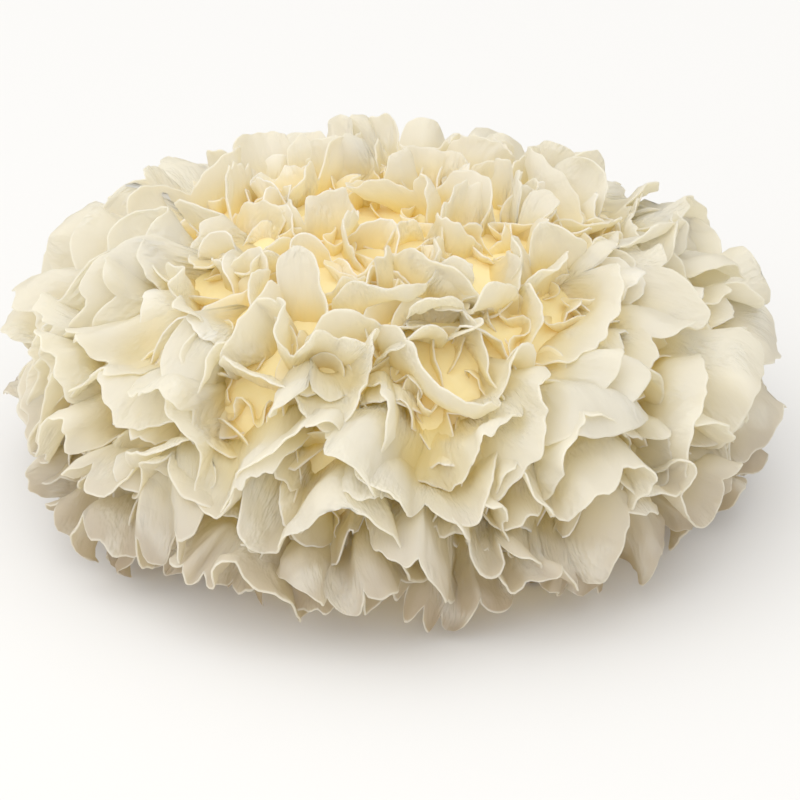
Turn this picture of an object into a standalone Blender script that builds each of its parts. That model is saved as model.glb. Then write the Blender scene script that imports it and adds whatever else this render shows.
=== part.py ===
"""Snow fungus (Tremella fuciformis): one fresh head, cut flat from the log it grew on.

Metres, +Z up.  The origin is the middle of the flat cut, which the head rests on.
The head grew as one piece, so it is one solid: ruffled fronds fused at their roots.
"""
import math

import bmesh
import bpy
import numpy as np

MM = 0.001
TURN = 2 * math.pi
GOLDEN_ANGLE = math.pi * (3 - math.sqrt(5))
UP = np.array([0.0, 0.0, 1.0])

# Outline of the head: a low dome over a skirt that tucks in at the base
GIRTH_RADIUS = 99 * MM
GIRTH_HEIGHT = 28 * MM
CROWN_RISE = 56 * MM
CROWN_POWER = 2.3
SKIRT_DROP = 32 * MM
SKIRT_POWER = 3.2
MARGIN_GIVE = 0.07
LOWEST_MARGIN = 2 * MM

# Fronds: ruffled fans, each from its root to a wavy margin on the outline
FROND_COUNT = 160
FROND_REACH = 50 * MM
FROND_ROOT_SHARE = 0.34
FROND_WALL = 3.4 * MM
FROND_SEED = 11
SPOT_COUNT = 700
SPOT_REACH = 9 * MM
LOWEST_SPOT = 5 * MM
GROWTH_CENTRE = 6 * MM * UP
SLIDE_CENTRE = 18 * MM * UP

# Slow unevenness of the whole growth
WARP_SIZE = 2.2 * MM
WARP_LENGTH = 32 * MM
WARP_SEED = 5

# Solid flesh at the roots, and the cut face under it
FLESH_SHARE = 0.78
FLESH_BELOW_CUT = 3 * MM

# Fused surface
VOXEL = 1.5 * MM
FACE_COUNT = 9400
FLESH_COLOUR = (0.86, 0.76, 0.58, 1.0)


# Helpers


def smooth(x):
    x = np.clip(x, 0, 1)
    return x * x * (3 - 2 * x)


def unit(vector):
    return vector / np.linalg.norm(vector)


def blend(a, b, angle):
    """Turn the pair of unit vectors a and b in their plane by an angle."""
    c, s = math.cos(angle), math.sin(angle)
    return c * a + s * b, c * b - s * a


# Outline of the head


def outline_radius(height):
    above = np.clip((height - GIRTH_HEIGHT) / CROWN_RISE, 0, 1)
    below = np.clip((GIRTH_HEIGHT - height) / SKIRT_DROP, 0, 1)
    crown = (1 - above ** CROWN_POWER) ** (1 / CROWN_POWER)
    skirt = (1 - below ** SKIRT_POWER) ** (1 / SKIRT_POWER)
    return GIRTH_RADIUS * np.where(height > GIRTH_HEIGHT, crown, skirt)


def fullness(points):
    """Return 1 on the outline, less inside it and more outside."""
    across = np.hypot(points[..., 0], points[..., 1]) / GIRTH_RADIUS
    rise = points[..., 2] - GIRTH_HEIGHT
    along = np.where(rise > 0, rise / CROWN_RISE, -rise / SKIRT_DROP)
    power = np.where(rise > 0, CROWN_POWER, SKIRT_POWER)
    return (across ** power + along ** power) ** (1 / power)


def hold_in(points):
    """Ease points that stray past the outline or under the lowest margin back to it."""
    full = fullness(points)
    start = 1.03 - MARGIN_GIVE
    eased = start + MARGIN_GIVE * np.tanh((full - start) / MARGIN_GIVE)
    share = np.where(full > start, eased / np.maximum(full, 1e-6), 1)
    centre = GIRTH_HEIGHT * UP
    held = centre + (points - centre) * share[..., None]
    height, spare = held[..., 2], 0.75 * LOWEST_MARGIN
    lying = LOWEST_MARGIN - spare + spare * np.exp((height - LOWEST_MARGIN) / spare)
    held[..., 2] = np.where(height < LOWEST_MARGIN, lying, height)
    return held


def warp(points):
    """Shift points by slow waves, the same for every frond, so that growth looks uneven."""
    rng = np.random.default_rng(WARP_SEED)
    moved = points.copy()
    for octave in (1, 1, 1, 1, 1, 2, 2, 2, 2, 2):
        heading = unit(rng.normal(size=3))
        push = unit(rng.normal(size=3))
        swing = points @ heading * (TURN * octave / WARP_LENGTH) + rng.uniform(0, TURN)
        moved = moved + WARP_SIZE / (1.6 * octave) * np.sin(swing)[..., None] * push
    return moved


# Fronds


def frond_sheet(frond, across, rows):
    """Return a grid of points on a frond, with rows at these shares of its reach."""
    u = np.linspace(0, 1, across + 1)[None, :]
    v = rows[:, None]
    reach, chance = frond["reach"], frond["chance"]
    near_margin = smooth((v - 0.6) / 0.4)

    # The sheet swings left and right as it goes across, more and more towards the margin
    phase = frond["folds"] * (u + 0.08 * np.sin(TURN * (1.2 * u + chance[1]))) + chance[0]
    swing = np.sin(TURN * phase) * (0.85 + 0.15 * np.sin(TURN * (0.8 * u + chance[2])))
    frill = frond["frill"] * near_margin * np.sin(TURN * (2.6 * phase + chance[2]))
    heading = frond["fold_angle"] * smooth(v / 0.9) * swing + frill
    forward = np.cumsum(np.cos(heading), axis=1)
    sideways = np.cumsum(np.sin(heading), axis=1)
    forward -= forward[:, :1]
    sideways -= sideways[:, :1]
    sideways = (sideways - 0.9 * sideways[:, -1:] * u) * 2 * frond["half_angle"] * v * reach
    sideways /= forward[:, -1:]
    sideways -= sideways.mean(axis=1, keepdims=True)
    sideways += frond["roll"] * reach * near_margin * np.sin(TURN * (1.3 * u + chance[2]))

    # Fan with rounded sides, curled over towards its face
    fan = frond["half_angle"] * (2 * forward / forward[:, -1:] - 1)
    lobes = 1 - frond["lobe"] * (1 - np.abs(np.sin(TURN * (phase + chance[2]))) ** 0.5)
    scallops = np.sin(TURN * (9 * u + chance[0])) + np.sin(TURN * (17 * u + 3 * chance[1]))
    ragged = frond["ragged"] * near_margin * scallops
    rounded = 0.4 + 0.6 * (1 - np.abs(2 * u - 1) ** 2.8) ** (1 / 2.8)
    radius = v * reach * lobes * rounded * (1 + ragged)
    curl = frond["curl"] * (radius / reach) ** 1.6
    step = np.diff(radius, axis=0, prepend=0)
    along = np.cumsum(step * np.cos(curl), axis=0)
    out = np.cumsum(step * np.sin(curl), axis=0)
    points = frond["root"] + frond["slide"]
    points = points + (along * np.cos(fan) - sideways * np.sin(curl))[..., None] * frond["grow"]
    points = points + (out * np.cos(fan) + sideways * np.cos(curl))[..., None] * frond["face"]
    points = points + (radius * np.sin(fan))[..., None] * frond["wide"]
    return warp(points)


def new_frond(spot, rng):
    """Choose a frond that grows to a spot on the outline: upright on the crown, drooping low down."""
    low = smooth((44 * MM - spot[2]) / (38 * MM))
    high = smooth((spot[2] - 56 * MM) / (26 * MM))
    middle = (1 - low) * (1 - high)
    away = unit(spot * [1, 1, 0])
    grow = unit(spot - GROWTH_CENTRE)
    wide = np.cross(UP, away)
    face = np.cross(wide, grow)
    lean = 44 * low + 10 * middle - 8 * high + rng.uniform(-16, 16)
    grow, face = blend(grow, face, math.radians(lean))
    turn = rng.uniform(-1, 1) * (20 + 14 * high)
    wide, face = blend(wide, face, math.radians(turn))
    vigour = rng.uniform(0.8, 1.2)
    reach = (FROND_REACH - (9 * low + 7 * high) * MM) * vigour
    curl = math.radians(52 * (1 - high) * rng.uniform(0.2, 1.3) + rng.uniform(-30, 30) * high)
    return {
        "grow": grow,
        "wide": wide,
        "face": face,
        "reach": reach,
        "curl": curl,
        "root": spot - reach * (0.9 * grow + 0.2 * math.sin(curl) * face),
        "slide": 0 * UP,
        "fill": rng.uniform(0.93, 1.02),
        "half_angle": math.radians(rng.uniform(32, 46)),
        "folds": (1.5 + 1.7 * low) * vigour * rng.uniform(0.85, 1.25),
        "fold_angle": math.radians(rng.uniform(40, 76) + 14 * middle + 24 * low),
        "frill": rng.uniform(0.15, 0.6),
        "lobe": rng.uniform(0.08, 0.2) + 0.12 * high,
        "ragged": rng.uniform(0.0, 0.016),
        "roll": rng.uniform(-0.1, 0.1),
        "chance": rng.uniform(size=3),
    }


def settle(frond):
    """Slide a frond until its margin meets the outline, and return its sheet."""
    sheet = frond_sheet(frond, 28, np.linspace(FROND_ROOT_SHARE, 1, 9))
    away = unit(sheet[-1].mean(axis=0) - SLIDE_CENTRE)
    slide = 0 * UP
    for _ in range(5):
        full = np.sort(fullness(sheet + slide).ravel())[-6]
        slide = slide + (frond["fill"] - full) * 70 * MM * away
    sunk = min(0, (sheet[..., 2] + slide[2]).min())
    frond["slide"] = slide - 0.5 * sunk * UP
    return hold_in(sheet + frond["slide"])


def spots_on_outline():
    """Spread spots evenly over the outline in a golden spiral from the crown to the skirt."""
    crown = np.linspace(GIRTH_HEIGHT + CROWN_RISE, GIRTH_HEIGHT, 600)
    height = np.concatenate([crown, np.linspace(GIRTH_HEIGHT, LOWEST_SPOT, 200)[1:]])
    radius = outline_radius(height)
    band = np.hypot(np.diff(radius), np.diff(height)) * (radius[1:] + radius[:-1]) / 2
    area = np.concatenate([[0], np.cumsum(band)])
    share = (np.arange(SPOT_COUNT) + 0.5) / SPOT_COUNT * area[-1]
    height, radius = np.interp(share, area, height), np.interp(share, area, radius)
    angle = np.arange(SPOT_COUNT) * GOLDEN_ANGLE
    return np.stack([radius * np.cos(angle), radius * np.sin(angle), height], axis=1)


def grow_fronds():
    """Grow the fronds one by one, each towards the barest spot of the outline."""
    rng = np.random.default_rng(FROND_SEED)
    spots = spots_on_outline()
    cover = np.zeros(SPOT_COUNT)
    fronds = []
    for _ in range(FROND_COUNT):
        barest = spots[np.argmin(cover)]
        frond = new_frond(barest, rng)
        sheet = settle(frond)[3:].reshape(-1, 3)
        gaps = ((sheet[None] - spots[:, None]) ** 2).sum(axis=2)
        cover += np.exp(-gaps / SPOT_REACH ** 2).sum(axis=1)
        cover += 4 * np.exp(-((spots - barest) ** 2).sum(axis=1) / SPOT_REACH ** 2)
        fronds.append(frond)
    return fronds


# Solid


def add_frond(bm, frond, across=32, outward=6):
    rows = np.linspace(FROND_ROOT_SHARE, 1, outward + 1)
    sheet = hold_in(frond_sheet(frond, across, rows)).reshape(-1, 3)
    grid = bmesh.ops.create_grid(bm, x_segments=across, y_segments=outward, size=1)
    for vert, place in zip(grid["verts"], sheet):
        vert.co = place


def add_flesh(bm):
    """Add the solid flesh at the roots, a smaller dome that runs down past the cut."""
    girth = GIRTH_RADIUS * FLESH_SHARE
    ball = bmesh.ops.create_uvsphere(bm, u_segments=48, v_segments=24, radius=1)
    for vert in ball["verts"]:
        place = np.array(vert.co)
        on_crown = place[2] > 0
        power = CROWN_POWER if on_crown else SKIRT_POWER
        drop = CROWN_RISE * FLESH_SHARE if on_crown else GIRTH_HEIGHT + FLESH_BELOW_CUT
        swell = (math.hypot(*place[:2]) ** power + abs(place[2]) ** power) ** (-1 / power)
        vert.co = place * swell * [girth, girth, drop] + GIRTH_HEIGHT * UP


def apply_modifiers(obj):
    depsgraph = bpy.context.evaluated_depsgraph_get()
    mesh = bpy.data.meshes.new_from_object(obj.evaluated_get(depsgraph))
    obj.modifiers.clear()
    obj.data = mesh


def keep_largest_body(obj):
    """Delete the closed pockets and loose bits, which leaves one solid without sealed hollows."""
    bm = bmesh.new()
    bm.from_mesh(obj.data)
    unseen = set(bm.verts)
    bodies = []
    while unseen:
        body, edge = set(), {next(iter(unseen))}
        while edge:
            body |= edge
            edge = {e.other_vert(v) for v in edge for e in v.link_edges} - body
        unseen -= body
        bodies.append(body)
    largest = max(bodies, key=len)
    bmesh.ops.delete(bm, geom=[v for v in bm.verts if v not in largest], context="VERTS")
    bm.to_mesh(obj.data)
    bm.free()


def make_material(name, colour, roughness):
    material = bpy.data.materials.new(name)
    material.use_nodes = True
    shader = material.node_tree.nodes["Principled BSDF"]
    shader.inputs["Base Color"].default_value = colour
    shader.inputs["Roughness"].default_value = roughness
    return material


def mesh_object(name, bm, collection):
    mesh = bpy.data.meshes.new(name)
    bm.to_mesh(mesh)
    bm.free()
    obj = bpy.data.objects.new(name, mesh)
    collection.objects.link(obj)
    return obj


def make_log_cut(collection):
    """The log's side of the cut: everything under the plane that the head rests on."""
    size = 4 * GIRTH_RADIUS
    bm = bmesh.new()
    bmesh.ops.create_cube(bm, size=size)
    bmesh.ops.translate(bm, verts=bm.verts, vec=(0, 0, -size / 2))
    cutter = mesh_object("log_cut", bm, collection)
    cutter.hide_render = True
    cutter.display_type = "WIRE"
    return cutter


def make_fruiting_body(collection, cutter):
    """The whole head: fronds given a wall, fused with the flesh, thinned to few faces and cut flat."""
    bm = bmesh.new()
    for frond in grow_fronds():
        add_frond(bm, frond)
    head = mesh_object("fruiting_body", bm, collection)
    wall = head.modifiers.new("frond_wall", "SOLIDIFY")
    wall.thickness = FROND_WALL
    wall.offset = 0
    apply_modifiers(head)

    bm = bmesh.new()
    bm.from_mesh(head.data)
    add_flesh(bm)
    bm.to_mesh(head.data)
    bm.free()
    fuse = head.modifiers.new("fuse", "REMESH")
    fuse.mode = "VOXEL"
    fuse.voxel_size = VOXEL
    apply_modifiers(head)
    keep_largest_body(head)

    soften = head.modifiers.new("soften", "SMOOTH")
    soften.factor = 0.5
    soften.iterations = 2
    thin = head.modifiers.new("few_faces", "DECIMATE")
    thin.ratio = FACE_COUNT / (2 * len(head.data.polygons))
    cut = head.modifiers.new("flat_cut", "BOOLEAN")
    cut.object = cutter
    apply_modifiers(head)
    keep_largest_body(head)
    head.data.shade_smooth()
    head.data.materials.clear()
    head.data.materials.append(make_material("fungus_flesh", FLESH_COLOUR, 0.45))
    return head


def main():
    for obj in list(bpy.data.objects):
        bpy.data.objects.remove(obj, do_unlink=True)
    parts = bpy.data.collections.new("snow_fungus")
    cutters = bpy.data.collections.new("cutters")
    for collection in (parts, cutters):
        bpy.context.scene.collection.children.link(collection)
    make_fruiting_body(parts, make_log_cut(cutters))


main()
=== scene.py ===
"""Looks of the snow fungus: one fresh head of thin, ruffled, translucent fronds.

Metres, +Z up, the same frame as the model.  The head rests on its flat cut at z = 0.
"""
import math

import bpy
import numpy as np
from mathutils import Matrix, Vector


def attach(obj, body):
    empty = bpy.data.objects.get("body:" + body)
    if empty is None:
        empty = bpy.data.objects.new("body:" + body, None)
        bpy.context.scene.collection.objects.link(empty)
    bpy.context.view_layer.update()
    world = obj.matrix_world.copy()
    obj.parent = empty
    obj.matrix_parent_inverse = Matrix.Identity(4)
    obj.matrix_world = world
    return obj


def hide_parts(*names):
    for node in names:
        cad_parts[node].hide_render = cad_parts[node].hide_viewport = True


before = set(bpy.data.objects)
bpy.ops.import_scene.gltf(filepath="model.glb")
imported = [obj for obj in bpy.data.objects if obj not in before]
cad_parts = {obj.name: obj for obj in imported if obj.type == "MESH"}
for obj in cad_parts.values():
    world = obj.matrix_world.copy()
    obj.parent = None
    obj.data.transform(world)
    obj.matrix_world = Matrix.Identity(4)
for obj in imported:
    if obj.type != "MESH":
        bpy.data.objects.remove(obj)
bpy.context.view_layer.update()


# Outline of the head
#
# A fresh head is a low dome of fronds with a skirt that tucks in at the base.  It grew
# freely all round, so every frond stops at about the same even outline.

MM = 0.001
TURN = 2 * math.pi
UP = np.array([0.0, 0.0, 1.0])
GIRTH_RADIUS = 99 * MM
GIRTH_HEIGHT = 28 * MM
CROWN_RISE = 56 * MM
CROWN_POWER = 2.3
SKIRT_DROP = 32 * MM
SKIRT_POWER = 3.2
MARGIN_GIVE = 0.07
LOWEST_MARGIN = 2 * MM


def smooth(x):
    x = np.clip(x, 0, 1)
    return x * x * (3 - 2 * x)


def unit(vector):
    return vector / np.linalg.norm(vector)


def outline_radius(height):
    above = np.clip((height - GIRTH_HEIGHT) / CROWN_RISE, 0, 1)
    below = np.clip((GIRTH_HEIGHT - height) / SKIRT_DROP, 0, 1)
    crown = (1 - above ** CROWN_POWER) ** (1 / CROWN_POWER)
    skirt = (1 - below ** SKIRT_POWER) ** (1 / SKIRT_POWER)
    return GIRTH_RADIUS * np.where(height > GIRTH_HEIGHT, crown, skirt)


def fullness(points):
    """Return 1 on the outline, less inside it and more outside."""
    across = np.hypot(points[..., 0], points[..., 1]) / GIRTH_RADIUS
    rise = points[..., 2] - GIRTH_HEIGHT
    along = np.where(rise > 0, rise / CROWN_RISE, -rise / SKIRT_DROP)
    power = np.where(rise > 0, CROWN_POWER, SKIRT_POWER)
    return (across ** power + along ** power) ** (1 / power)


def hold_in(points):
    """Ease points that stray past the outline or under the lowest margin back to it."""
    full = fullness(points)
    start = 1.03 - MARGIN_GIVE
    eased = start + MARGIN_GIVE * np.tanh((full - start) / MARGIN_GIVE)
    share = np.where(full > start, eased / np.maximum(full, 1e-6), 1)
    centre = GIRTH_HEIGHT * UP
    held = centre + (points - centre) * share[..., None]
    height, spare = held[..., 2], 0.75 * LOWEST_MARGIN
    lying = LOWEST_MARGIN - spare + spare * np.exp((height - LOWEST_MARGIN) / spare)
    held[..., 2] = np.where(height < LOWEST_MARGIN, lying, height)
    return held


# Large ruffled fronds
#
# Each frond is a fan of clear, jelly-like flesh, less than a millimetre thick.  Its margin
# grows faster than its root, so the sheet has to swing from side to side in rounded folds.

FROND_COUNT = 160
FROND_REACH = 50 * MM
FROND_ROOT_SHARE = 0.34
FROND_SEED = 11
SPOT_COUNT = 700
SPOT_REACH = 9 * MM
LOWEST_SPOT = 5 * MM
GROWTH_CENTRE = 6 * MM * UP
SLIDE_CENTRE = 18 * MM * UP
WARP_SIZE = 2.2 * MM
WARP_LENGTH = 32 * MM
WARP_SEED = 5


def blend(a, b, angle):
    """Turn the pair of unit vectors a and b in their plane by an angle."""
    c, s = math.cos(angle), math.sin(angle)
    return c * a + s * b, c * b - s * a


def warp(points):
    """Shift points by slow waves, the same for every frond, so that growth looks uneven."""
    rng = np.random.default_rng(WARP_SEED)
    moved = points.copy()
    for octave in (1, 1, 1, 1, 1, 2, 2, 2, 2, 2):
        heading = unit(rng.normal(size=3))
        push = unit(rng.normal(size=3))
        swing = points @ heading * (TURN * octave / WARP_LENGTH) + rng.uniform(0, TURN)
        moved = moved + WARP_SIZE / (1.6 * octave) * np.sin(swing)[..., None] * push
    return moved


def frond_sheet(frond, across, rows):
    """Return a grid of points on a frond, with rows at these shares of its reach."""
    u = np.linspace(0, 1, across + 1)[None, :]
    v = rows[:, None]
    reach, chance = frond["reach"], frond["chance"]
    near_margin = smooth((v - 0.6) / 0.4)

    # The sheet swings left and right as it goes across, more and more towards the margin
    phase = frond["folds"] * (u + 0.08 * np.sin(TURN * (1.2 * u + chance[1]))) + chance[0]
    swing = np.sin(TURN * phase) * (0.85 + 0.15 * np.sin(TURN * (0.8 * u + chance[2])))
    frill = frond["frill"] * near_margin * np.sin(TURN * (2.6 * phase + chance[2]))
    heading = frond["fold_angle"] * smooth(v / 0.9) * swing + frill
    forward = np.cumsum(np.cos(heading), axis=1)
    sideways = np.cumsum(np.sin(heading), axis=1)
    forward -= forward[:, :1]
    sideways -= sideways[:, :1]
    sideways = (sideways - 0.9 * sideways[:, -1:] * u) * 2 * frond["half_angle"] * v * reach
    sideways /= forward[:, -1:]
    sideways -= sideways.mean(axis=1, keepdims=True)
    sideways += frond["roll"] * reach * near_margin * np.sin(TURN * (1.3 * u + chance[2]))

    # Fan with rounded sides, curled over towards its face
    fan = frond["half_angle"] * (2 * forward / forward[:, -1:] - 1)
    lobes = 1 - frond["lobe"] * (1 - np.abs(np.sin(TURN * (phase + chance[2]))) ** 0.5)
    scallops = np.sin(TURN * (9 * u + chance[0])) + np.sin(TURN * (17 * u + 3 * chance[1]))
    ragged = frond["ragged"] * near_margin * scallops
    rounded = 0.4 + 0.6 * (1 - np.abs(2 * u - 1) ** 2.8) ** (1 / 2.8)
    radius = v * reach * lobes * rounded * (1 + ragged)
    curl = frond["curl"] * (radius / reach) ** 1.6
    step = np.diff(radius, axis=0, prepend=0)
    along = np.cumsum(step * np.cos(curl), axis=0)
    out = np.cumsum(step * np.sin(curl), axis=0)
    points = frond["root"] + frond["slide"]
    points = points + (along * np.cos(fan) - sideways * np.sin(curl))[..., None] * frond["grow"]
    points = points + (out * np.cos(fan) + sideways * np.cos(curl))[..., None] * frond["face"]
    points = points + (radius * np.sin(fan))[..., None] * frond["wide"]
    return warp(points)


def new_frond(spot, size):
    """Choose a frond that grows to a spot: upright on the crown and drooping low down."""
    low = smooth((44 * MM - spot[2]) / (38 * MM))
    high = smooth((spot[2] - 56 * MM) / (26 * MM))
    middle = (1 - low) * (1 - high)
    away = unit(spot * [1, 1, 0])
    grow = unit(spot - GROWTH_CENTRE)
    wide = np.cross(UP, away)
    face = np.cross(wide, grow)
    lean = 44 * low + 10 * middle - 8 * high + rng.uniform(-16, 16)
    grow, face = blend(grow, face, math.radians(lean))
    turn = rng.uniform(-1, 1) * (20 + 14 * high)
    wide, face = blend(wide, face, math.radians(turn))
    vigour = rng.uniform(0.8, 1.2)
    reach = (FROND_REACH - (9 * low + 7 * high) * MM) * vigour * size
    curl = math.radians(52 * (1 - high) * rng.uniform(0.2, 1.3) + rng.uniform(-30, 30) * high)
    return {
        "grow": grow,
        "wide": wide,
        "face": face,
        "reach": reach,
        "curl": curl,
        "root": spot - reach * (0.9 * grow + 0.2 * math.sin(curl) * face),
        "slide": 0 * UP,
        "fill": rng.uniform(0.93, 1.02),
        "half_angle": math.radians(rng.uniform(32, 46)),
        "folds": (1.5 + 1.7 * low) * vigour * rng.uniform(0.85, 1.25),
        "fold_angle": math.radians(rng.uniform(40, 76) + 14 * middle + 24 * low),
        "frill": rng.uniform(0.15, 0.6),
        "lobe": rng.uniform(0.08, 0.2) + 0.12 * high,
        "ragged": rng.uniform(0.0, 0.016),
        "roll": rng.uniform(-0.1, 0.1),
        "chance": rng.uniform(size=3),
    }


def settle(frond):
    """Slide a frond until its margin meets the outline, and return its sheet."""
    sheet = frond_sheet(frond, 28, np.linspace(FROND_ROOT_SHARE, 1, 9))
    away = unit(sheet[-1].mean(axis=0) - SLIDE_CENTRE)
    slide = 0 * UP
    for _ in range(5):
        full = np.sort(fullness(sheet + slide).ravel())[-6]
        slide = slide + (frond["fill"] - full) * 70 * MM * away
    sunk = min(0, (sheet[..., 2] + slide[2]).min())
    frond["slide"] = slide - 0.5 * sunk * UP
    return hold_in(sheet + frond["slide"])


def spots_on_outline():
    """Spread spots evenly over the outline in a golden spiral from the crown to the skirt."""
    crown = np.linspace(GIRTH_HEIGHT + CROWN_RISE, GIRTH_HEIGHT, 600)
    height = np.concatenate([crown, np.linspace(GIRTH_HEIGHT, LOWEST_SPOT, 200)[1:]])
    radius = outline_radius(height)
    band = np.hypot(np.diff(radius), np.diff(height)) * (radius[1:] + radius[:-1]) / 2
    area = np.concatenate([[0], np.cumsum(band)])
    share = (np.arange(SPOT_COUNT) + 0.5) / SPOT_COUNT * area[-1]
    height, radius = np.interp(share, area, height), np.interp(share, area, radius)
    angle = np.arange(SPOT_COUNT) * math.pi * (3 - math.sqrt(5))
    return np.stack([radius * np.cos(angle), radius * np.sin(angle), height], axis=1)


spots = spots_on_outline()
cover = np.zeros(SPOT_COUNT)
rng = np.random.default_rng(FROND_SEED)


def grow_fronds(count, depth, size):
    """Grow fronds one by one, each towards the barest spot, taken in by a depth."""
    global cover
    fronds = []
    for _ in range(count):
        barest = spots[np.argmin(cover)]
        centre = GIRTH_HEIGHT * UP
        frond = new_frond(centre + depth * (barest - centre), size)
        frond["fill"] += depth - 1
        sheet = settle(frond)[3:].reshape(-1, 3)
        gaps = ((sheet[None] - spots[:, None]) ** 2).sum(axis=2)
        cover += np.exp(-gaps / SPOT_REACH ** 2).sum(axis=1)
        cover += 4 / depth ** 12 * np.exp(-((spots - barest) ** 2).sum(axis=1) / SPOT_REACH ** 2)
        fronds.append(frond)
    return fronds


large_fronds = grow_fronds(FROND_COUNT, 1, 1)


def add_node(tree, kind, settings=None, links=None):
    """Add a node, set its properties and sockets, and link its inputs."""
    node = tree.nodes.new(kind)
    for name, value in (settings or {}).items():
        if isinstance(name, str) and hasattr(node, name):
            setattr(node, name, value)
        else:
            node.inputs[name].default_value = value
    for name, source in (links or {}).items():
        tree.links.new(source, node.inputs[name])
    return node


def frond_wall_tree():
    """Geometry Nodes: crinkle an open sheet, give it a wall and close its edges.

    The sheet's "wall_share" is 1 in the flesh and falls to 0 on every free edge, where
    the two faces of the wall meet and are merged.
    """
    tree = bpy.data.node_groups.new("frond_wall", "GeometryNodeTree")
    face = tree.interface
    face.new_socket("Geometry", in_out="OUTPUT", socket_type="NodeSocketGeometry")
    face.new_socket("Geometry", in_out="INPUT", socket_type="NodeSocketGeometry")
    for name in ("Wall", "Crinkle Height", "Crinkle Size", "Seed"):
        face.new_socket(name, in_out="INPUT", socket_type="NodeSocketFloat")
    face.new_socket("Flesh", in_out="INPUT", socket_type="NodeSocketMaterial")
    given = add_node(tree, "NodeGroupInput").outputs
    normal = add_node(tree, "GeometryNodeInputNormal").outputs[0]

    # Crinkles: a soft noise of the given size pushes the sheet in and out, most at its margin
    pitch = add_node(
        tree, "ShaderNodeMath", {"operation": "DIVIDE", 0: 1.0}, {1: given["Crinkle Size"]}
    )
    noise = add_node(
        tree,
        "ShaderNodeTexNoise",
        {"noise_dimensions": "4D", "Detail": 2.0},
        {"Scale": pitch.outputs[0], "W": given["Seed"]},
    )
    swing = add_node(
        tree, "ShaderNodeMath", {"operation": "SUBTRACT", 1: 0.5}, {0: noise.outputs[0]}
    )
    height = add_node(
        tree,
        "ShaderNodeMath",
        {"operation": "MULTIPLY"},
        {0: swing.outputs[0], 1: given["Crinkle Height"]},
    )
    reach = add_node(
        tree, "GeometryNodeInputNamedAttribute", {"data_type": "FLOAT", "Name": "reach_share"}
    )
    ruffle = add_node(
        tree,
        "ShaderNodeMath",
        {"operation": "MULTIPLY"},
        {0: height.outputs[0], 1: reach.outputs[0]},
    )
    push = add_node(
        tree,
        "ShaderNodeVectorMath",
        {"operation": "SCALE"},
        {0: normal, "Scale": ruffle.outputs[0]},
    )
    crinkled = add_node(
        tree,
        "GeometryNodeSetPosition",
        None,
        {"Geometry": given["Geometry"], "Offset": push.outputs[0]},
    )

    # Wall: one copy of the sheet is moved out along its normals and a turned copy in
    share = add_node(
        tree, "GeometryNodeInputNamedAttribute", {"data_type": "FLOAT", "Name": "wall_share"}
    )
    faces = []
    for side in (0.5, -0.5):
        half = add_node(
            tree, "ShaderNodeMath", {"operation": "MULTIPLY", 1: side}, {0: given["Wall"]}
        )
        depth = add_node(
            tree,
            "ShaderNodeMath",
            {"operation": "MULTIPLY"},
            {0: half.outputs[0], 1: share.outputs[0]},
        )
        out = add_node(
            tree,
            "ShaderNodeVectorMath",
            {"operation": "SCALE"},
            {0: normal, "Scale": depth.outputs[0]},
        )
        moved = add_node(
            tree,
            "GeometryNodeSetPosition",
            None,
            {"Geometry": crinkled.outputs[0], "Offset": out.outputs[0]},
        )
        faces.append(moved.outputs[0])
    inner = add_node(tree, "GeometryNodeFlipFaces", None, {0: faces[1]})
    both = add_node(tree, "GeometryNodeJoinGeometry")
    tree.links.new(faces[0], both.inputs[0])
    tree.links.new(inner.outputs[0], both.inputs[0])
    closed = add_node(
        tree,
        "GeometryNodeMergeByDistance",
        {"Distance": 0.002 * MM},
        {"Geometry": both.outputs[0]},
    )
    rounded = add_node(tree, "GeometryNodeSetShadeSmooth", None, {0: closed.outputs[0]})
    real = add_node(tree, "GeometryNodeRealizeInstances", None, {0: rounded.outputs[0]})
    dressed = add_node(
        tree,
        "GeometryNodeSetMaterial",
        None,
        {"Geometry": real.outputs[0], "Material": given["Flesh"]},
    )
    add_node(tree, "NodeGroupOutput", None, {0: dressed.outputs[0]})
    return tree


def sheets_object(name, fronds, across, rows):
    """Make one mesh of open sheets, with the values that their wall and colour need."""
    count = (across + 1) * len(rows)
    corners = np.arange(count).reshape(len(rows), across + 1)
    near, far = corners[:-1], corners[1:]
    quads = np.stack([near[:, :-1], near[:, 1:], far[:, 1:], far[:, :-1]], axis=2)
    points = np.stack([hold_in(frond_sheet(frond, across, rows)) for frond in fronds])
    faces = quads.reshape(1, -1, 4) + count * np.arange(len(fronds))[:, None, None]
    wall = np.ones((len(fronds), len(rows), across + 1))
    wall[:, -2] = 0.8
    wall[:, [0, -1]] = 0
    wall[:, :, [0, -1]] = 0
    share = np.broadcast_to(rows[:, None], wall.shape[1:])[None].repeat(len(fronds), axis=0)
    own = np.array([frond["chance"].sum() * 7 % 1 for frond in fronds])[:, None, None] + 0 * wall
    reach = np.array([frond["reach"] for frond in fronds])[:, None, None]
    girth = np.array([2 * frond["half_angle"] for frond in fronds])[:, None, None]
    span = reach * girth * np.linspace(-1, 1, across + 1)

    mesh = bpy.data.meshes.new(name)
    mesh.from_pydata(points.reshape(-1, 3).tolist(), [], faces.reshape(-1, 4).tolist())
    kept = {
        "wall_share": wall,
        "reach_share": share,
        "own_number": own,
        "span": span + 0 * wall,
        "reach": reach * share,
    }
    for label, values in kept.items():
        mesh.attributes.new(label, "FLOAT", "POINT").data.foreach_set("value", values.ravel())
    obj = bpy.data.objects.new(name, mesh)
    bpy.context.scene.collection.objects.link(obj)
    return obj


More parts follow.
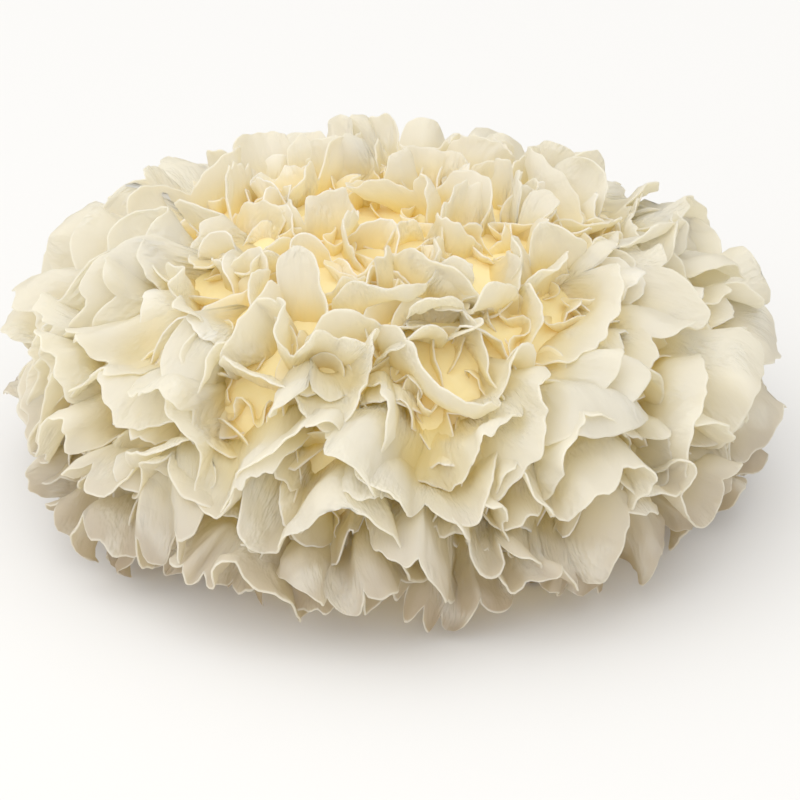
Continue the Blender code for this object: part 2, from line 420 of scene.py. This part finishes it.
def run_tree(obj, tree, values):
    """Run a tree on an object with named values, and keep the result as a plain mesh."""
    modifier = obj.modifiers.new(tree.name, "NODES")
    modifier.node_group = tree
    for item in tree.interface.items_tree:
        if item.in_out == "INPUT" and item.name in values:
            modifier[item.identifier] = values[item.name]
    depsgraph = bpy.context.evaluated_depsgraph_get()
    mesh = bpy.data.meshes.new_from_object(obj.evaluated_get(depsgraph))
    obj.modifiers.clear()
    obj.data = mesh


def srgb(code):
    """Turn an sRGB hex colour into linear red, green, blue and alpha."""
    parts = [int(code[i : i + 2], 16) / 255 for i in (1, 3, 5)]
    linear = [c / 12.92 if c <= 0.04045 else ((c + 0.055) / 1.055) ** 2.4 for c in parts]
    return (*linear, 1.0)


PATCH_SIZE = 11 * MM
WRINKLE_WIDTH = 1.8 * MM
WRINKLE_LENGTH = 2.6 * MM
WRINKLE_RISE = 1.2 * MM
OWN_WRINKLES = 50


def fresh_flesh_material(name, light_through):
    """Fresh gelatinous fungus flesh: a thin wet jelly that lets a share of the light through.

    It is warm white outside and golden where the sheets stand deep and close, partly the
    yellower flesh there and partly a painted glow of light scattered in the folds. It is
    darker tan low down, partly its own tan near the base and partly painted shade under the
    head, and each margin is painted paler, a painted highlight where the thin edge catches light.
    """
    material = bpy.data.materials.new(name)
    material.use_nodes = True
    tree = material.node_tree
    tree.nodes.clear()
    place = add_node(tree, "ShaderNodeTexCoord").outputs["Object"]

    # How far out a point lies: 1 on the outline, less in the folds
    centred = add_node(
        tree,
        "ShaderNodeVectorMath",
        {"operation": "SUBTRACT", 1: (0, 0, GIRTH_HEIGHT)},
        {0: place},
    )
    shrink = (1 / GIRTH_RADIUS, 1 / GIRTH_RADIUS, 1 / CROWN_RISE)
    scaled = add_node(
        tree, "ShaderNodeVectorMath", {"operation": "MULTIPLY", 1: shrink}, {0: centred.outputs[0]}
    )
    full = add_node(tree, "ShaderNodeVectorMath", {"operation": "LENGTH"}, {0: scaled.outputs[0]})
    height = add_node(tree, "ShaderNodeSeparateXYZ", None, {0: place}).outputs[2]
    share = add_node(tree, "ShaderNodeAttribute", {"attribute_name": "reach_share"}).outputs["Fac"]

    # Cloudy patches, where the jelly is whiter and its skin is crinkled like crepe
    patches = add_node(
        tree, "ShaderNodeTexNoise", {"Scale": 1 / PATCH_SIZE, "Detail": 1.0}, {0: place}
    ).outputs[0]

    # Each colour comes in as its value goes from start to end, up to the share in the last
    #     # column: cream in the folds and gold deeper in (partly the yellower deep flesh, partly a
    #     # painted glow of light in the folds), darker tan low down (partly the base's own tan,
    #     # partly painted shade under the head), the whiter cloudy patches, and a paler margin
    #     # that is a painted highlight along the thin edges
    layers = (
        # Painted glow in the folds: cream, then gold, deeper inside the outline; partly the
        # yellower deep flesh
        ("#fbf1c8", full.outputs["Value"], 0.98, 0.86, 0.90),
        ("#fbdf66", full.outputs["Value"], 0.92, 0.76, 0.95),
        # Painted shade: darker tan towards the bottom, partly the base's own tan near the cut
        ("#9a7a4c", height, 50 * MM, -4 * MM, 0.95),
        ("#fffdf4", patches, 0.50, 0.72, 0.45),
        # Painted highlight: a paler line along every margin, where the thin edge catches light
        ("#fffcf2", share, 0.985, 0.996, 0.70),
    )
    colour = add_node(tree, "ShaderNodeRGB").outputs[0]
    colour.default_value = srgb("#f9f5e8")
    for code, value, start, end, most in layers:
        ramp = add_node(
            tree,
            "ShaderNodeMapRange",
            {
                "interpolation_type": "SMOOTHSTEP",
                "From Min": start,
                "From Max": end,
                "To Max": most,
            },
            {"Value": value},
        )
        mixed = add_node(
            tree,
            "ShaderNodeMix",
            {"data_type": "RGBA", 7: srgb(code)},
            {0: ramp.outputs[0], 6: colour},
        )
        colour = mixed.outputs[2]

    # Fine wrinkles like crepe, faint on clear jelly and strongest in the cloudy patches.
    # They lie along the sheet, and each frond's own number gives it its own wrinkles
    span = add_node(tree, "ShaderNodeAttribute", {"attribute_name": "span"}).outputs["Fac"]
    reach = add_node(tree, "ShaderNodeAttribute", {"attribute_name": "reach"}).outputs["Fac"]
    own = add_node(tree, "ShaderNodeAttribute", {"attribute_name": "own_number"}).outputs["Fac"]
    on_sheet = add_node(tree, "ShaderNodeCombineXYZ", None, {0: span, 1: reach, 2: own}).outputs[0]
    pitches = (1 / WRINKLE_WIDTH, 1 / WRINKLE_LENGTH, OWN_WRINKLES)
    stretched = add_node(
        tree, "ShaderNodeVectorMath", {"operation": "MULTIPLY", 1: pitches}, {0: on_sheet}
    ).outputs[0]
    wrinkles = add_node(
        tree, "ShaderNodeTexNoise", {"Scale": 1.0, "Detail": 1.0}, {0: stretched}
    ).outputs[0]
    crepe = add_node(
        tree,
        "ShaderNodeMapRange",
        {"From Min": 0.46, "From Max": 0.70, "To Min": 0.12},
        {"Value": patches},
    ).outputs[0]
    rises = add_node(
        tree, "ShaderNodeMath", {"operation": "MULTIPLY"}, {0: wrinkles, 1: crepe}
    ).outputs[0]
    relief = add_node(
        tree, "ShaderNodeBump", {"Strength": 1.0, "Distance": WRINKLE_RISE}, {"Height": rises}
    )
    skin = add_node(
        tree,
        "ShaderNodeBsdfPrincipled",
        {"Roughness": 0.4, "IOR": 1.4},
        {"Base Color": colour, "Normal": relief.outputs[0]},
    )
    cream = add_node(
        tree, "ShaderNodeMix", {"data_type": "RGBA", 0: 0.5, 7: srgb("#fff3c4")}, {6: colour}
    )
    through = add_node(
        tree,
        "ShaderNodeBsdfTranslucent",
        None,
        {"Color": cream.outputs[2], "Normal": relief.outputs[0]},
    )
    both = add_node(
        tree,
        "ShaderNodeMixShader",
        {0: light_through},
        {1: skin.outputs[0], 2: through.outputs[0]},
    )
    add_node(tree, "ShaderNodeOutputMaterial", None, {0: both.outputs[0]})
    return material


FROND_WALL = 0.5 * MM
CRINKLE_HEIGHT = 5.0 * MM
CRINKLE_SIZE = 7 * MM
FROND_ACROSS = 88
FROND_ROWS = np.append(np.linspace(FROND_ROOT_SHARE, 0.988, 11), [0.996, 1.0])
FROND_GROUPS = ("crown_fronds", "shoulder_fronds", "girth_fronds", "skirt_fronds")

wall_tree = frond_wall_tree()
flesh = fresh_flesh_material("fresh_gelatinous_flesh", 0.6)
large_fronds.sort(key=lambda frond: -(frond["root"] + frond["slide"])[2])
per_group = FROND_COUNT // len(FROND_GROUPS)
for number, name in enumerate(FROND_GROUPS):
    group = large_fronds[number * per_group : (number + 1) * per_group]
    piece = sheets_object(name, group, FROND_ACROSS, FROND_ROWS)
    run_tree(
        piece,
        wall_tree,
        {
            "Wall": FROND_WALL,
            "Crinkle Height": CRINKLE_HEIGHT,
            "Crinkle Size": CRINKLE_SIZE,
            "Seed": 3.0,
            "Flesh": flesh,
        },
    )
    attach(piece, "root")
    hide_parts("fruiting_body")


# Inner fronds
#
# Younger fronds of the same jelly, grown later and smaller, stand between the large ones
# and fill the folds behind them.

INNER_COUNT = 110
INNER_DEPTH = 0.90
INNER_SIZE = 0.7
INNER_ACROSS = 44
INNER_ROWS = np.append(np.linspace(FROND_ROOT_SHARE, 0.985, 7), [0.995, 1.0])

young_flesh = fresh_flesh_material("young_gelatinous_flesh", 0.4)
inner_growth = grow_fronds(INNER_COUNT, INNER_DEPTH, INNER_SIZE)
inner = sheets_object("inner_fronds", inner_growth, INNER_ACROSS, INNER_ROWS)
run_tree(
    inner,
    wall_tree,
    {
        "Wall": FROND_WALL,
        "Crinkle Height": CRINKLE_HEIGHT,
        "Crinkle Size": CRINKLE_SIZE,
        "Seed": 8.0,
        "Flesh": young_flesh,
    },
)
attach(inner, "root")
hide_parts("fruiting_body")


# Root flesh
#
# Under the fronds their roots run together into firm amber flesh, which was cut off the
# log in one flat slice.  The head rests on that slice.

FLESH_SHARE = 0.78
FLESH_BELOW_CUT = 3 * MM
FLESH_RINGS = 24
FLESH_SIDES = 96
FIBRE_SIZE = 5 * MM
FIBRE_RISE = 0.8 * MM
TAN_DEPTH = 5 * MM


def firm_flesh_material():
    """Firm root flesh: the same jelly, but thick, so that it is opaque and deep yellow."""
    material = bpy.data.materials.new("firm_root_flesh")
    material.use_nodes = True
    tree = material.node_tree
    place = add_node(tree, "ShaderNodeTexCoord").outputs["Object"]
    fibre = add_node(
        tree,
        "ShaderNodeTexNoise",
        {"Scale": 1 / FIBRE_SIZE, "Detail": 4.0, "Distortion": 0.6},
        {0: place},
    )
    colour = add_node(
        tree,
        "ShaderNodeMix",
        {"data_type": "RGBA", 6: srgb("#f2d474"), 7: srgb("#f8e49e")},
        {0: fibre.outputs[0]},
    )

    # The slice itself is tanned by the air
    height = add_node(tree, "ShaderNodeSeparateXYZ", None, {0: place}).outputs[2]
    air = add_node(
        tree,
        "ShaderNodeMapRange",
        {"From Min": TAN_DEPTH, "From Max": 0.0, "To Max": 0.7},
        {"Value": height},
    )
    tanned = add_node(
        tree,
        "ShaderNodeMix",
        {"data_type": "RGBA", 7: srgb("#c08d4a")},
        {0: air.outputs[0], 6: colour.outputs[2]},
    )
    relief = add_node(
        tree,
        "ShaderNodeBump",
        {"Strength": 0.6, "Distance": FIBRE_RISE},
        {"Height": fibre.outputs[0]},
    )
    skin = tree.nodes["Principled BSDF"]
    skin.inputs["Roughness"].default_value = 0.55
    skin.inputs["IOR"].default_value = 1.4
    tree.links.new(tanned.outputs[2], skin.inputs["Base Color"])
    tree.links.new(relief.outputs[0], skin.inputs["Normal"])
    return material


def flesh_mesh():
    """Return the root flesh as a mesh, ring by ring from its top down to the cut."""
    girth = GIRTH_RADIUS * FLESH_SHARE
    lean = np.linspace(0, math.pi / 2, FLESH_RINGS + 1)[1:]
    swell = (np.sin(lean) ** CROWN_POWER + np.cos(lean) ** CROWN_POWER) ** (-1 / CROWN_POWER)
    rise = CROWN_RISE * FLESH_SHARE
    crown = np.stack([girth * np.sin(lean) * swell, rise * np.cos(lean) * swell])
    drop = np.linspace(0, GIRTH_HEIGHT, FLESH_RINGS // 2 + 1)[1:]
    tucked = (1 - (drop / (GIRTH_HEIGHT + FLESH_BELOW_CUT)) ** SKIRT_POWER) ** (1 / SKIRT_POWER)
    skirt = np.stack([girth * tucked, -drop])
    radius, height = np.concatenate([crown, skirt], axis=1)[:, :, None]
    angle = TURN * np.arange(FLESH_SIDES) / FLESH_SIDES
    rings = [radius * np.cos(angle), radius * np.sin(angle), GIRTH_HEIGHT + height + 0 * angle]
    rings = np.stack(rings, axis=2).reshape(-1, 3)
    top = (GIRTH_HEIGHT + rise) * UP

    here = np.arange(len(rings)).reshape(-1, FLESH_SIDES)
    ahead = np.roll(here, -1, axis=1)
    sides = np.stack([here[:-1], here[1:], ahead[1:], ahead[:-1]], axis=2).reshape(-1, 4)
    cap = [(len(rings), *pair) for pair in zip(here[0], ahead[0])]
    mesh = bpy.data.meshes.new("root_flesh")
    mesh.from_pydata([*rings, top], [], [*sides.tolist(), *cap, here[-1, ::-1].tolist()])
    mesh.polygons.foreach_set("use_smooth", [True] * (len(sides) + len(cap)) + [False])
    return mesh


root_flesh = bpy.data.objects.new("root_flesh", flesh_mesh())
root_flesh.data.materials.append(firm_flesh_material())
bpy.context.scene.collection.objects.link(root_flesh)
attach(root_flesh, "root")
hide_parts("fruiting_body")


# Small frills
#
# The youngest fronds are small ruffled tongues that sprout all over the root flesh and
# close the gaps between the roots of the older ones.

FRILL_REACH = 11 * MM
FRILL_SPACING = 8.5 * MM
FRILL_WALL = 0.6 * MM
FRILL_KINDS = 7
TONGUE_ACROSS = 24
TONGUE_ROWS = np.append(np.linspace(FROND_ROOT_SHARE, 0.97, 4), 1.0)
ROOTED = 2 * MM


def small_frills_tree():
    """Geometry Nodes: plant tongues of several kinds on a surface, at points a spacing apart."""
    tree = bpy.data.node_groups.new("small_frills", "GeometryNodeTree")
    face = tree.interface
    face.new_socket("Geometry", in_out="OUTPUT", socket_type="NodeSocketGeometry")
    face.new_socket("Geometry", in_out="INPUT", socket_type="NodeSocketGeometry")
    face.new_socket("Tongues", in_out="INPUT", socket_type="NodeSocketObject")
    for name in ("Spacing", "Smallest", "Largest", "Lowest Root", "Lowest Point"):
        face.new_socket(name, in_out="INPUT", socket_type="NodeSocketFloat")
    face.new_socket("Seed", in_out="INPUT", socket_type="NodeSocketInt")
    face.new_socket("Flesh", in_out="INPUT", socket_type="NodeSocketMaterial")
    given = add_node(tree, "NodeGroupInput").outputs

    # Roots are spread over the surface, clear of the cut
    density = add_node(
        tree, "ShaderNodeMath", {"operation": "POWER", 1: -2.0}, {0: given["Spacing"]}
    )
    place = add_node(tree, "GeometryNodeInputPosition").outputs[0]
    height = add_node(tree, "ShaderNodeSeparateXYZ", None, {0: place}).outputs[2]
    above = add_node(
        tree,
        "FunctionNodeCompare",
        {"operation": "GREATER_THAN"},
        {0: height, 1: given["Lowest Root"]},
    )
    roots = add_node(
        tree,
        "GeometryNodeDistributePointsOnFaces",
        {"distribute_method": "POISSON"},
        {
            "Mesh": given["Geometry"],
            "Selection": above.outputs[0],
            "Distance Min": given["Spacing"],
            "Density Max": density.outputs[0],
            "Seed": given["Seed"],
        },
    ).outputs

    # Each root gets one kind of tongue, at a random size and turn
    source = add_node(tree, "GeometryNodeObjectInfo", None, {"Object": given["Tongues"]})
    island = add_node(tree, "GeometryNodeInputMeshIsland").outputs["Island Index"]
    kinds = add_node(
        tree,
        "GeometryNodeSplitToInstances",
        {"domain": "POINT"},
        {"Geometry": source.outputs["Geometry"], "Group ID": island},
    )
    size = add_node(
        tree,
        "FunctionNodeRandomValue",
        {"data_type": "FLOAT"},
        {2: given["Smallest"], 3: given["Largest"], "Seed": given["Seed"]},
    )
    turn = add_node(
        tree,
        "FunctionNodeRandomValue",
        {"data_type": "FLOAT", 2: 0.0, 3: TURN},
        {"Seed": given["Seed"]},
    )
    spin = add_node(tree, "ShaderNodeCombineXYZ", None, {2: turn.outputs[1]})
    planted = add_node(
        tree,
        "GeometryNodeInstanceOnPoints",
        {"Pick Instance": True},
        {
            "Points": roots["Points"],
            "Instance": kinds.outputs["Instances"],
            "Rotation": roots["Rotation"],
            "Scale": size.outputs[1],
        },
    )
    turned = add_node(
        tree,
        "GeometryNodeRotateInstances",
        None,
        {"Instances": planted.outputs[0], "Rotation": spin.outputs[0]},
    )
    real = add_node(tree, "GeometryNodeRealizeInstances", None, {0: turned.outputs[0]})

    # No point hangs below the cut
    spot = add_node(tree, "ShaderNodeSeparateXYZ", None, {0: place}).outputs
    lifted = add_node(
        tree, "ShaderNodeMath", {"operation": "MAXIMUM"}, {0: spot[2], 1: given["Lowest Point"]}
    )
    clear = add_node(
        tree, "ShaderNodeCombineXYZ", None, {0: spot[0], 1: spot[1], 2: lifted.outputs[0]}
    )
    resting = add_node(
        tree,
        "GeometryNodeSetPosition",
        None,
        {"Geometry": real.outputs[0], "Position": clear.outputs[0]},
    )
    dressed = add_node(
        tree,
        "GeometryNodeSetMaterial",
        None,
        {"Geometry": resting.outputs[0], "Material": given["Flesh"]},
    )
    add_node(tree, "NodeGroupOutput", None, {0: dressed.outputs[0]})
    return tree


def new_tongue():
    """Choose a small frond that grows straight up from the middle of the head."""
    reach = FRILL_REACH * rng.uniform(0.85, 1.15)
    return {
        "grow": UP,
        "wide": np.array([1.0, 0.0, 0.0]),
        "face": np.array([0.0, -1.0, 0.0]),
        "reach": reach,
        "curl": math.radians(rng.uniform(-60, 60)),
        "root": GIRTH_HEIGHT * UP - (FROND_ROOT_SHARE * reach + ROOTED) * UP,
        "slide": 0 * UP,
        "half_angle": math.radians(rng.uniform(50, 70)),
        "folds": rng.uniform(1.2, 2.0),
        "fold_angle": math.radians(rng.uniform(70, 105)),
        "frill": rng.uniform(0.1, 0.4),
        "lobe": rng.uniform(0.05, 0.15),
        "ragged": rng.uniform(0.0, 0.016),
        "roll": rng.uniform(-0.1, 0.1),
        "chance": rng.uniform(size=3),
    }


kinds = [new_tongue() for _ in range(FRILL_KINDS)]
tongues = sheets_object("tongues", kinds, TONGUE_ACROSS, TONGUE_ROWS)
tongues.data.transform(Matrix.Translation((0, 0, -GIRTH_HEIGHT)))
small_frills = bpy.data.objects.new("small_frills", root_flesh.data.copy())
bpy.context.scene.collection.objects.link(small_frills)
run_tree(
    small_frills,
    small_frills_tree(),
    {
        "Tongues": tongues,
        "Spacing": FRILL_SPACING,
        "Smallest": 0.8,
        "Largest": 1.2,
        "Lowest Root": 4 * MM,
        "Lowest Point": 1.5 * MM,
        "Seed": 4,
        "Flesh": young_flesh,
    },
)
bpy.data.objects.remove(tongues)
run_tree(
    small_frills,
    wall_tree,
    {
        "Wall": FRILL_WALL,
        "Crinkle Height": 1.5 * MM,
        "Crinkle Size": 9 * MM,
        "Seed": 5.0,
        "Flesh": young_flesh,
    },
)
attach(small_frills, "root")
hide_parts("fruiting_body")


# Floor, light and camera
#
# A pale table under a soft white sky, brightest overhead and towards the camera's left.
# One large lamp hangs at the upper left, and the camera looks down at 26 degrees.

FLOOR_SIZE = 6
SKY_BRIGHTEST = (-0.28, -0.34, 0.90)
LAMP_PLACE = Vector((-0.35, -0.25, 0.7))
LAMP_AIM = Vector((0, 0, 0.04))

bpy.ops.mesh.primitive_plane_add(size=FLOOR_SIZE)
floor = bpy.context.object
floor.name = "floor"
paint = bpy.data.materials.new("pale_table")
paint.use_nodes = True
coat = paint.node_tree.nodes["Principled BSDF"]
coat.inputs["Base Color"].default_value = srgb("#e9e7e3")
coat.inputs["Roughness"].default_value = 0.7
floor.data.materials.append(paint)

scene = bpy.context.scene
world = bpy.data.worlds.new("studio")
scene.world = world
world.use_nodes = True
sky_tree = world.node_tree
sky = sky_tree.nodes["Background"]
sky.inputs["Color"].default_value = srgb("#ffffff")
way = add_node(sky_tree, "ShaderNodeTexCoord").outputs["Generated"]
towards = add_node(
    sky_tree, "ShaderNodeVectorMath", {"operation": "DOT_PRODUCT", 1: SKY_BRIGHTEST}, {0: way}
)
glow = add_node(
    sky_tree,
    "ShaderNodeMapRange",
    {"From Min": 0.0, "To Min": 0.1, "To Max": 1.84},
    {"Value": towards.outputs["Value"]},
)
sky_tree.links.new(glow.outputs[0], sky.inputs["Strength"])

lamp_data = bpy.data.lights.new("key_light", "AREA")
lamp_data.size = 1.1
lamp_data.energy = 1.0
lamp = bpy.data.objects.new("key_light", lamp_data)
scene.collection.objects.link(lamp)
lamp.location = LAMP_PLACE
lamp.rotation_euler = (LAMP_AIM - LAMP_PLACE).to_track_quat("-Z", "Y").to_euler()

CAMERA_ELEVATION = math.radians(26)
CAMERA_DISTANCE = 620 * MM
VIEW_WIDTH = 205 * MM
VIEW_CENTRE = Vector((0.002, 0, 0.0205))

camera_data = bpy.data.cameras.new("camera")
camera_data.lens = camera_data.sensor_width * CAMERA_DISTANCE / VIEW_WIDTH
camera = bpy.data.objects.new("camera", camera_data)
scene.collection.objects.link(camera)
back = Vector((0, -math.cos(CAMERA_ELEVATION), math.sin(CAMERA_ELEVATION)))
camera.location = VIEW_CENTRE + CAMERA_DISTANCE * back
camera.rotation_euler = (-back).to_track_quat("-Z", "Y").to_euler()
scene.camera = camera
scene.view_settings.view_transform = "Standard"
scene.view_settings.gamma = 1.6
scene.cycles.diffuse_bounces = 8
scene.cycles.transmission_bounces = 4
